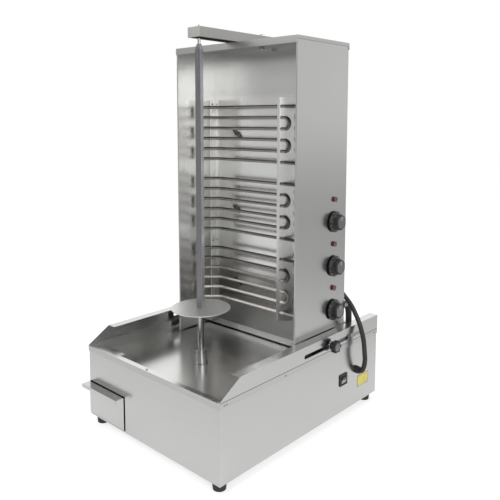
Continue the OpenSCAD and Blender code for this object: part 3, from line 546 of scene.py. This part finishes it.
# painted shade: the right bracket is darker towards its foot
steel_plate = brushed("steel_bracket_plate", 0.74, 0.28, "z",
                      heights=[(200, 0.5), (300, 0.6), (420, 1.0), (900, 1.0)])
dark_steel = brushed("dark_steel_fastener", 0.2, 0.38, "z", spread=0.05)
bright_bolt = brushed("plated_fastener", 0.5, 0.24, "z", spread=0.04)
grey_cap = brushed("knob_cap_metal", 0.24, 0.30, "z", tint=(0.97, 0.98, 1.0))
sheath = heater_sheath()
black_plastic = grained("black_moulded_plastic", (0.013, 0.013, 0.0145), 0.32, 1300, 0.10)
gloss_black = grained("black_gloss_key", (0.02, 0.02, 0.022), 0.2, 1500, 0.04)
rubber = grained("black_rubber_feet", (0.026, 0.026, 0.027), 0.62, 800, 0.25)
white_mark = grained("white_mark_paint", (0.78, 0.78, 0.76), 0.45, 1500, 0.04, 0.04)
yellow = grained("yellow_plate_film", srgb(228, 212, 106), 0.42, 700, 0.05, 0.06)
ivory = grained("ceramic_insulator", (0.72, 0.68, 0.58), 0.3, 500, 0.05, 0.05)
cast_grey = grained("cast_grey_gearbox", (0.30, 0.31, 0.32), 0.5, 300, 0.5, 0.12)
red_lens = grained("red_lamp_lens", (0.085, 0.012, 0.018), 0.34, 500, 0.03, 0.10)
pale_rim = grained("pale_lamp_rim", (0.20, 0.10, 0.11), 0.45, 600, 0.04, 0.06)
plate_edge = grained("plate_edge_film", (0.42, 0.41, 0.34), 0.42, 700, 0.05, 0.05)
key_face = grained("rocker_lower_face", (0.42, 0.42, 0.43), 0.24, 1200, 0.06, 0.08)
hose_mat = hose_sleeve()

# hoses, the cords of the part
MAIN = [(146, 486, 300), (146, 490, 300), (149, 495, 299), (155, 498, 297), (163, 498, 294),
        (172, 496, 290), (182, 494, 284), (193, 492, 276), (206, 491, 265), (217, 490, 253),
        (226, 490, 239), (234, 490, 225), (241, 490, 210), (246, 491, 194), (250, 492, 177),
        (252, 493, 160), (253, 494, 143), (254, 495, 128), (253, 496, 116), (251, 497, 106),
        (248, 497, 97), (244, 497, 91), (241, 497, 90), (238, 497, 90)]
SHORT = [(190, 487, 256), (190, 494, 256), (191, 502, 252), (192, 507, 244), (193, 509, 232),
         (193, 510, 215), (193, 510, 198), (193, 509, 182), (192, 508, 170), (192, 508, 162)]
MAIN_DIAMETER, SHORT_DIAMETER = 12, 16
HOSE_STEP = 0.9
RIB_DEPTH, RIB_PITCH = 0.16, 2.6


def rib(length):
    return RIB_DEPTH / MM_IN_M * math.cos(2 * math.pi * length * MM_IN_M / RIB_PITCH)


def hose(name, route, diameter, sides):
    """A ribbed sleeve along the route, in the place of the CAD hose of that name."""
    path = spline([point(*p) for p in route], HOSE_STEP / MM_IN_M)
    sleeve = tube(name + "_sleeve", path, diameter / 2 / MM_IN_M, hose_mat, sides, rib)
    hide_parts(name)
    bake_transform(sleeve)
    return sleeve, path


main_hose, main_path = hose("main_hose", MAIN, MAIN_DIAMETER, 24)
short_hose, short_path = hose("short_hose", SHORT, SHORT_DIAMETER, 28)
base_gland = dress("base_gland", black_plastic, 0.5)
tower_gland = dress("tower_gland", black_plastic, 0.5)
deck_gland = dress("deck_gland", black_plastic, 0.5)
tower_elbow = dress("tower_elbow", bright_bolt, 0.5)

# nodes that get rounded edges, with the width of the rounding
dressed = {node: dress(node, mat, width) for node, mat, slot, width in [
    ("base_housing", steel_base, "brushed_sheet", 0.5),
    ("base_floor", steel_base, "brushed_sheet", 0.3),
    ("drip_tray", steel_tray, "bright_sheet", 0.6),
    ("left_guard", steel_base, "brushed_sheet", 0.5),
    ("right_guard", steel_base, "brushed_sheet", 0.5),
    ("drawer_rails", steel_base, "brushed_sheet", 0.3),
    ("drawer_pan", steel_base, "brushed_sheet", 0.4),
    ("drawer_front", steel_base, "brushed_sheet", 0.4),
    ("motor_bracket", steel_base, "brushed_sheet", 0.5),
    ("tower_shell", steel_tower, "brushed_sheet", 0.5),
    ("top_cover", steel_cover, "brushed_sheet", 0.5),
    ("back_panel", steel_inner, "brushed_sheet", 0.4),
    ("bottom_ledge", steel_ledge, "brushed_sheet", 0.4),
    # the control box takes the inner walls' painted light and shade
    ("control_box", inner_wall_steel_painted_shading, "brushed_sheet", 0.4),
    ("left_bracket", steel_hook, "brushed_sheet", 0.3),
    ("right_bracket", steel_plate, "brushed_sheet", 0.4),
    ("arm", steel_arm, "brushed_sheet", 0.7),
    ("spit_tube", steel_tube, "turned_steel", 0.7),
    ("spit_disc", steel_disc, "turned_steel", 0.4),
    ("spit_collar", steel_turned, "turned_steel", 0.6),
    ("spit_rod", steel_turned, "turned_steel", 0.3),
    ("spit_pin", steel_turned, "turned_steel", 0.6),
    ("left_slider", dark_steel, "turned_steel", 0.4),
    ("right_slider", dark_steel, "turned_steel", 0.4),
    ("arm_bolt", bright_bolt, "dark_steel", 0.5),
    ("left_clamp_knob", black_plastic, "black_plastic", 1.0),
    ("right_clamp_knob", black_plastic, "black_plastic", 1.0),
    ("rocker_bezel", black_plastic, "black_plastic", 0.6),
    ("rocker_key", gloss_black, "black_plastic", 0.6),
    ("mains_inlet", black_plastic, "black_plastic", 0.5),
    ("foot_front_left", rubber, "black_rubber", 1.6),
    ("foot_front_right", rubber, "black_rubber", 1.6),
    ("foot_rear_left", rubber, "black_rubber", 1.6),
    ("foot_rear_right", rubber, "black_rubber", 1.6),
]}

# nodes that keep their shape
for node, mat in [
    ("upper_heater", sheath), ("middle_heater", sheath), ("lower_heater", sheath),
    ("heater_clips", dark_steel), ("tray_rivets", bright_bolt), ("gear_motor", dark_steel),
    ("gearbox", cast_grey), ("terminal_box", ivory), ("drive_shaft", steel_turned),
    ("upper_regulator", ivory), ("middle_regulator", ivory), ("lower_regulator", ivory),
    ("upper_lamp", red_lens), ("middle_lamp", red_lens), ("lower_lamp", red_lens),
    ("blank_plate", yellow),
]:
    data = frame["nodes"][node].data
    data.materials.clear()
    data.materials.append(mat)

# faces of a node that look unlike the rest of it; the tray's skirt, the tower's inner walls, the guards' slot
# edges and the cover's underside get painted light and shade
LOOKS = 0.5          # a face looks one way if its normal has more than this share that way
ALONG = 0.3          # and it lies along that way if its normal has less than this share
SKIN = 0.3           # the tray's skirt covers the housing, and lies outside this depth of it
SIDE_WALLS = 7.5     # the inner faces of the tower's walls lie within these depths of its outside
BACK_WALL = 12.8
SLOT_Y, SLOT_Z = (262, 516), (182, 194)    # the slots of the guards lie in here
KEY_BEND = 83.0      # the lower face of the rocker key ends here


housing_low, housing_high, _ = node_box("base_housing")
_, shell_high, _ = node_box("tower_shell")


def is_skirt(c, n):
    outside = (abs(c.x) > housing_high.x - SKIN or c.y < housing_low.y + SKIN
               or c.y > housing_high.y - SKIN)
    return abs(n.z) < ALONG and outside


def is_inner_wall(c, n):
    on_left = n.x > LOOKS and c.x < SIDE_WALLS - shell_high.x
    on_right = n.x < -LOOKS and c.x > shell_high.x - SIDE_WALLS
    return on_left or on_right or (n.y < -LOOKS and c.y > shell_high.y - BACK_WALL)


def is_slot_edge(c, n):
    return abs(n.x) < ALONG and SLOT_Z[0] < c.z < SLOT_Z[1] and SLOT_Y[0] < c.y < SLOT_Y[1]


# painted shade on the upright outer faces of the tray
paint(dressed["drip_tray"], skirt_steel_painted_shade, is_skirt)
# painted light and shade on the inner faces of the tower's walls
paint(dressed["tower_shell"], inner_wall_steel_painted_shading, is_inner_wall)
# painted shade in the slots of the guards
paint(dressed["left_guard"], dark_steel, is_slot_edge)
paint(dressed["right_guard"], dark_steel, is_slot_edge)
paint(dressed["rocker_key"], key_face, lambda c, n: n.x > LOOKS and c.z < KEY_BEND)
# painted shade on the downward faces of the cover
paint(dressed["top_cover"], underside_steel_painted_shade, lambda c, n: n.z < -LOOKS)

# control knobs; the profiles' heights are from the knob's underside, KNOB_GAP above the panel
KNOB_TALL = 21.26    # the CAD knob's top is this far above the panel
KNOB_GAP = 1.5
GRIP_PROFILE = [(20, 0.0), (25.2, 0.0), (26, 0.6), (26, 2.3), (25.4, 3.1), (24.2, 3.5), (22.9, 4.1),
                (21.7, 5.0), (20.7, 6.1), (20.2, 7.2), (20.0, 9), (19.8, 11.5), (19.6, 14), (19.3, 16.6),
                (18.8, 18.3), (17.9, 19.3), (16.8, 19.7), (15.4, 19.7), (15.1, 19.2), (0.01, 19.2)]
CAP_PROFILE = [(0.01, 19.0), (14.9, 19.0), (14.95, 19.4), (14.4, 19.7), (12.0, 19.8), (7.0, 19.95),
               (0.01, 20.0)]
SHAFT_RADIUS, SHAFT_START, SHAFT_END = 3.1, -17, 3
FLUTE_START, FLUTE_RUN_OUT = 7.5, 2.5    # the flutes start here, and are full this much higher
FLUTE_SHARE, FLUTE_PAIRS, FLUTE_POWER = 0.105, 3, 0.6
FLUTED_RADIUS = 9
POINTER_TOP, POINTER_THICK, POINTER_HALF = 20.1, 0.6, 0.7
POINTER_SPAN = 4.0, 13.6
MARKS, MARK_START, MARK_TURN = 11, 225, 27
MARK_RADIUS, MARK_HEIGHT, MARK_SLOPE = 24.9, 3.3, 0.40
MARK_HALF, MARK_SUNK, MARK_THICK = 0.28, 0.02, 0.12
LONG_MARK, SHORT_MARK, LONG_EVERY = 2.6, 1.6, 5
ALONG_X = (1, 0, 0)


def fluted(radius, height, angle):
    """The grip's radius where the flutes cut into it."""
    if height < FLUTE_START or radius < FLUTED_RADIUS:
        return radius
    depth = min(1.0, (height - FLUTE_START) / FLUTE_RUN_OUT)
    wave = abs(math.cos(FLUTE_PAIRS * angle))
    return radius * (1 - FLUTE_SHARE * depth * (1 - wave ** FLUTE_POWER))


def knob_mark(name, centre, body, k):
    """One of the fine marks on the skirt, which slopes up towards the grip."""
    angle = math.radians(MARK_START - MARK_TURN * k)
    out = Vector((0, math.cos(angle), math.sin(angle)))
    along = Vector((0, -math.sin(angle), math.cos(angle)))
    long = LONG_MARK if k % LONG_EVERY == 0 else SHORT_MARK
    corners = []
    for radius, height in ((MARK_RADIUS, MARK_HEIGHT), (MARK_RADIUS - long, MARK_HEIGHT + long * MARK_SLOPE)):
        for shift in (-MARK_HALF, MARK_HALF):
            for raised in (0.0, MARK_THICK):
                lift = Vector((KNOB_GAP + height + raised - MARK_SUNK, 0, 0))
                corners.append(centre + out * radius / MM_IN_M + along * shift / MM_IN_M + lift / MM_IN_M)
    new_mesh(f"{name}_knob_mark_{k}", corners, BOX_FACES, body, white_mark, False)


def knob(name):
    """A fluted grip with a metal cap, a pointer and marks, in the place of the CAD knob."""
    _, high, middle = node_box(name + "_knob")
    panel_x = high.x - KNOB_TALL
    centre = point(panel_x, middle.y, middle.z)
    body = name + "_knob_body"
    grip = turned(name + "_knob_grip", [(r, KNOB_GAP + h) for r, h in GRIP_PROFILE], centre, ALONG_X, body,
                  black_plastic, 120, fluted)
    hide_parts(name + "_knob")
    turned(name + "_knob_cap", [(r, KNOB_GAP + h) for r, h in CAP_PROFILE], centre, ALONG_X, body,
           grey_cap, 72)
    turned(name + "_knob_shaft", [(SHAFT_RADIUS, SHAFT_START), (SHAFT_RADIUS, KNOB_GAP + SHAFT_END)], centre,
           ALONG_X, body, bright_bolt, 24)
    top = panel_x + KNOB_GAP + POINTER_TOP
    slab(name + "_knob_pointer", (top - POINTER_THICK, top),
         (middle.y - POINTER_HALF, middle.y + POINTER_HALF), [middle.z + z for z in POINTER_SPAN],
         body, white_mark, 0.15)
    for k in range(MARKS):
        knob_mark(name, centre, body, k)


for name in ("lower", "middle", "upper"):
    knob(name)

# small trim, in the places that the nodes give
WASHER_PROFILE = [(4.6, 0.05), (9.9, 0.05), (10.0, 0.5), (9.9, 1.35), (4.6, 1.4)]
CLAMP_CAP_PROFILE = [(0.01, 18.9), (9.6, 18.9), (9.8, 19.3), (9.2, 19.75), (5.0, 20.0), (0.01, 20.1)]
HOOK_SCREW_PROFILE = [(0.01, 0.9), (1.7, 0.8), (2.4, 0.4), (2.5, 0.0)]
HOOK_SCREW_FROM = Vector((1.6, -8.19, -12.05))    # from the bracket's left, rear and upper faces
HOOK_SCREW_PITCH = 389.2
SEAM_PROUD, SEAM_ENDS = 0.12, 2.0
SEAM_BELOW, SEAM_ABOVE = 0.8, 0.6
SET_SCREW_PROFILE = [(0.01, 17.5), (2.2, 17.5), (2.6, 17.2), (2.6, 16.0)]
SET_SCREW_DROP = 9.1
FERRULE_PROFILE = [(8.15, 0.0), (9.5, 0.0), (9.8, 0.4), (9.8, 6.0), (9.4, 6.5), (8.15, 6.5)]
FERRULE_GAP = 0.11
RIM_PROFILE = [(4.6, 3.6), (4.9, 4.1), (6.0, 4.1), (6.6, 3.7), (6.6, 2.4)]
RIM_BELOW_LENS = 4.01    # the rim's heights are from here, below the lens's end
BORDER, BORDER_SUNK, BORDER_PROUD = 1.9, 0.15, 0.10


def clamp_trim(hand, sign):
    """The washer behind a clamp knob and the cap in its face, on the axis of the knob."""
    low, high, middle = node_box(hand + "_clamp_knob")
    inner_x = low.x if sign > 0 else high.x
    centre = point(inner_x, middle.y, middle.z)
    body = hand + "_clamp_body"
    turned(hand + "_clamp_washer", WASHER_PROFILE, centre, (sign, 0, 0), body, bright_bolt, 48)
    turned(hand + "_clamp_cap", CLAMP_CAP_PROFILE, centre, (sign, 0, 0), body, grey_cap, 48)


def hook_screw(name, below):
    """A screw that holds the left bracket to the tower's left wall, this far below the upper one."""
    low, high, _ = node_box("left_bracket")
    off = HOOK_SCREW_FROM
    turned(name, HOOK_SCREW_PROFILE, point(low.x + off.x, high.y + off.y, high.z + off.z - below), ALONG_X,
           body_of["left_bracket"], dark_steel, 24)


def guard_gap_shadow(hand, sign):
    """A dark strip, painted shadow in the gap between a guard and the skirt of the tray below it."""
    low, high, _ = node_box(hand + "_guard")
    outer_x = high.x if sign > 0 else low.x
    slab(hand + "_guard_gap_shadow", sorted((outer_x, outer_x + sign * SEAM_PROUD)),
         (low.y + SEAM_ENDS, high.y - SEAM_ENDS), (low.z - SEAM_BELOW, low.z + SEAM_ABOVE),
         body_of[hand + "_guard"], dark_steel, 0.04, 1)


def lamp_rim(name):
    _, high, middle = node_box(name)
    turned(name + "_rim", RIM_PROFILE, point(high.x - RIM_BELOW_LENS, middle.y, middle.z), ALONG_X,
           body_of[name], pale_rim, 40)


def plate_border():
    """Four strips around the face of the blank plate."""
    low, high, _ = node_box("blank_plate")
    x_span = high.x - BORDER_SUNK, high.x + BORDER_PROUD
    y_span, z_span = (low.y, high.y), (low.z, high.z)
    strips = [(y_span, (low.z, low.z + BORDER)), (y_span, (high.z - BORDER, high.z)),
              ((low.y, low.y + BORDER), z_span), ((high.y - BORDER, high.y), z_span)]
    for k, (ys, zs) in enumerate(strips):
        slab(f"plate_border_{k}", x_span, ys, zs, body_of["blank_plate"], plate_edge, 0.08, 1)


for hand, sign in (("left", -1), ("right", 1)):
    clamp_trim(hand, sign)
    guard_gap_shadow(hand, sign)
# both screws are on the left bracket: the lower one is called left, and the upper one right
hook_screw("left_hook_screw", HOOK_SCREW_PITCH)
hook_screw("right_hook_screw", 0)
_, collar_high, collar_middle = node_box("spit_collar")
turned("collar_set_screw", SET_SCREW_PROFILE,
       point(collar_middle.x, collar_middle.y, collar_high.z - SET_SCREW_DROP), (-0.6, -0.8, 0),
       body_of["spit_collar"], dark_steel, 20)
_, elbow_high, elbow_middle = node_box("tower_elbow")
turned("short_hose_ferrule", FERRULE_PROFILE,
       point(elbow_middle.x, elbow_high.y + FERRULE_GAP, elbow_middle.z), (0, 1, 0),
       body_of["tower_elbow"], bright_bolt, 40)
for name in ("lower_lamp", "middle_lamp", "upper_lamp"):
    lamp_rim(name)
plate_border()

# floor, lights and world; their sizes and places are in metres
FLOOR_HALF = 14.0
FLOOR_TONE, FLOOR_TONE_SEEN = 0.86, 0.50
FLOOR_GLOW = 0.66
GLOW_REACH = 10
# metal sees the floor bright near the object, and greyer some metres away
GLOW_SHARES = [(0.0, 0.44), (0.07, 0.40), (0.16, 0.14), (0.35, 0.12), (0.8, 0.34)]
RIGHT_X, BACK_Y = 0.67, 0.74    # the shares of X and Y in the ways to the camera's right and ahead of it
SIDE_LIGHT, LEFT_LOSS, BACK_GAIN, HIGH_LOSS = 0.88, 0.34, 0.62, 0.42    # of the world, as metal sees it
PLAIN_LIGHT = 0.62                                                      # and as all else sees it


def seen_by(tree):
    """For camera rays, and for those that metal or glass sends on."""
    rays = tree.add("ShaderNodeLightPath").outputs
    return rays["Is Camera Ray"], tree.math("MAXIMUM", rays["Is Glossy Ray"], rays["Is Transmission Ray"])


def make_floor():
    """A pale floor that looks white, and still takes the object's shadow."""
    mesh = bpy.data.meshes.new("floor")
    half = FLOOR_HALF
    mesh.from_pydata([(-half, -half, 0), (half, -half, 0), (half, half, 0), (-half, half, 0)], [],
                     [(0, 1, 2, 3)])
    add_object("floor", mesh)
    m = Material("pale_floor", 0.9)
    by_camera, by_metal = seen_by(m)
    seen = m.math("MAXIMUM", by_camera, by_metal)
    m.color(m.mix(seen, grey(FLOOR_TONE), grey(FLOOR_TONE_SEEN)))
    distance = m.add("ShaderNodeVectorMath", operation="LENGTH")
    m.link(m.coord.outputs["Object"], distance.inputs[0])
    away = m.ramp(m.span(distance.outputs["Value"], 0, 1, 0, GLOW_REACH),
                  [(place, grey(share)) for place, share in GLOW_SHARES])
    glow = m.add("ShaderNodeEmission")
    m.link(m.math("ADD", m.math("MULTIPLY", by_camera, FLOOR_GLOW), m.math("MULTIPLY", by_metal, away)),
           glow.inputs["Strength"])
    both = m.add("ShaderNodeAddShader")
    m.link(m.bsdf.outputs[0], both.inputs[0])
    m.link(glow.outputs[0], both.inputs[1])
    m.link(both.outputs[0], m.tree.nodes["Material Output"].inputs["Surface"])
    mesh.materials.append(m.mat)


def make_world():
    """White for the camera. Metal sees it white behind the object and to its right, and greyer to the
    left front and overhead."""
    world = bpy.data.worlds.new("studio")
    scene.world = world
    world.use_nodes = True
    world.node_tree.nodes.clear()
    tree = Tree(world.node_tree)
    x, y, z = tree.split(tree.add("ShaderNodeTexCoord").outputs["Generated"])
    far_y = tree.math("MULTIPLY", y, BACK_Y)
    to_right = tree.math("ADD", tree.math("MULTIPLY", x, RIGHT_X), far_y)
    to_back = tree.math("ADD", tree.math("MULTIPLY", x, -RIGHT_X), far_y)
    side = tree.math("ADD", SIDE_LIGHT, tree.math("MULTIPLY", tree.math("MINIMUM", to_right, 0.0), LEFT_LOSS))
    behind = tree.math("MULTIPLY", tree.math("POWER", tree.math("MAXIMUM", to_back, 0.0), 2.0), BACK_GAIN)
    high = tree.math("MULTIPLY", tree.math("MAXIMUM", z, 0.0), HIGH_LOSS)
    metal_level = tree.math("SUBTRACT", tree.math("ADD", side, behind), high)
    by_camera, by_metal = seen_by(tree)
    level = tree.math("ADD", by_camera, tree.math("MULTIPLY", by_metal, metal_level))
    by_others = tree.math("SUBTRACT", 1.0, tree.math("MAXIMUM", by_camera, by_metal))
    strength = tree.math("ADD", level, tree.math("MULTIPLY", by_others, PLAIN_LIGHT))
    background = tree.add("ShaderNodeBackground")
    background.inputs["Color"].default_value = grey(1)
    tree.link(strength, background.inputs["Strength"])
    tree.link(background.outputs[0], tree.add("ShaderNodeOutputWorld").inputs["Surface"])


def softbox(name, place, target, size, power):
    data = bpy.data.lights.new(name, "AREA")
    data.energy = power
    data.size = size
    light = add_object(name, data)
    light.location = place
    light.rotation_mode = "QUATERNION"
    light.rotation_quaternion = (Vector(target) - Vector(place)).to_track_quat("-Z", "Y")


make_floor()
make_world()
softbox("key_softbox", (-1.6, -2.4, 2.6), (0, 0, 0.4), 1.8, 34)
softbox("fill_softbox", (2.6, -1.2, 1.6), (0, 0, 0.4), 1.8, 20)
softbox("top_softbox", (0.3, 0.2, 3.2), (0, 0, 0.2), 2.2, 26)
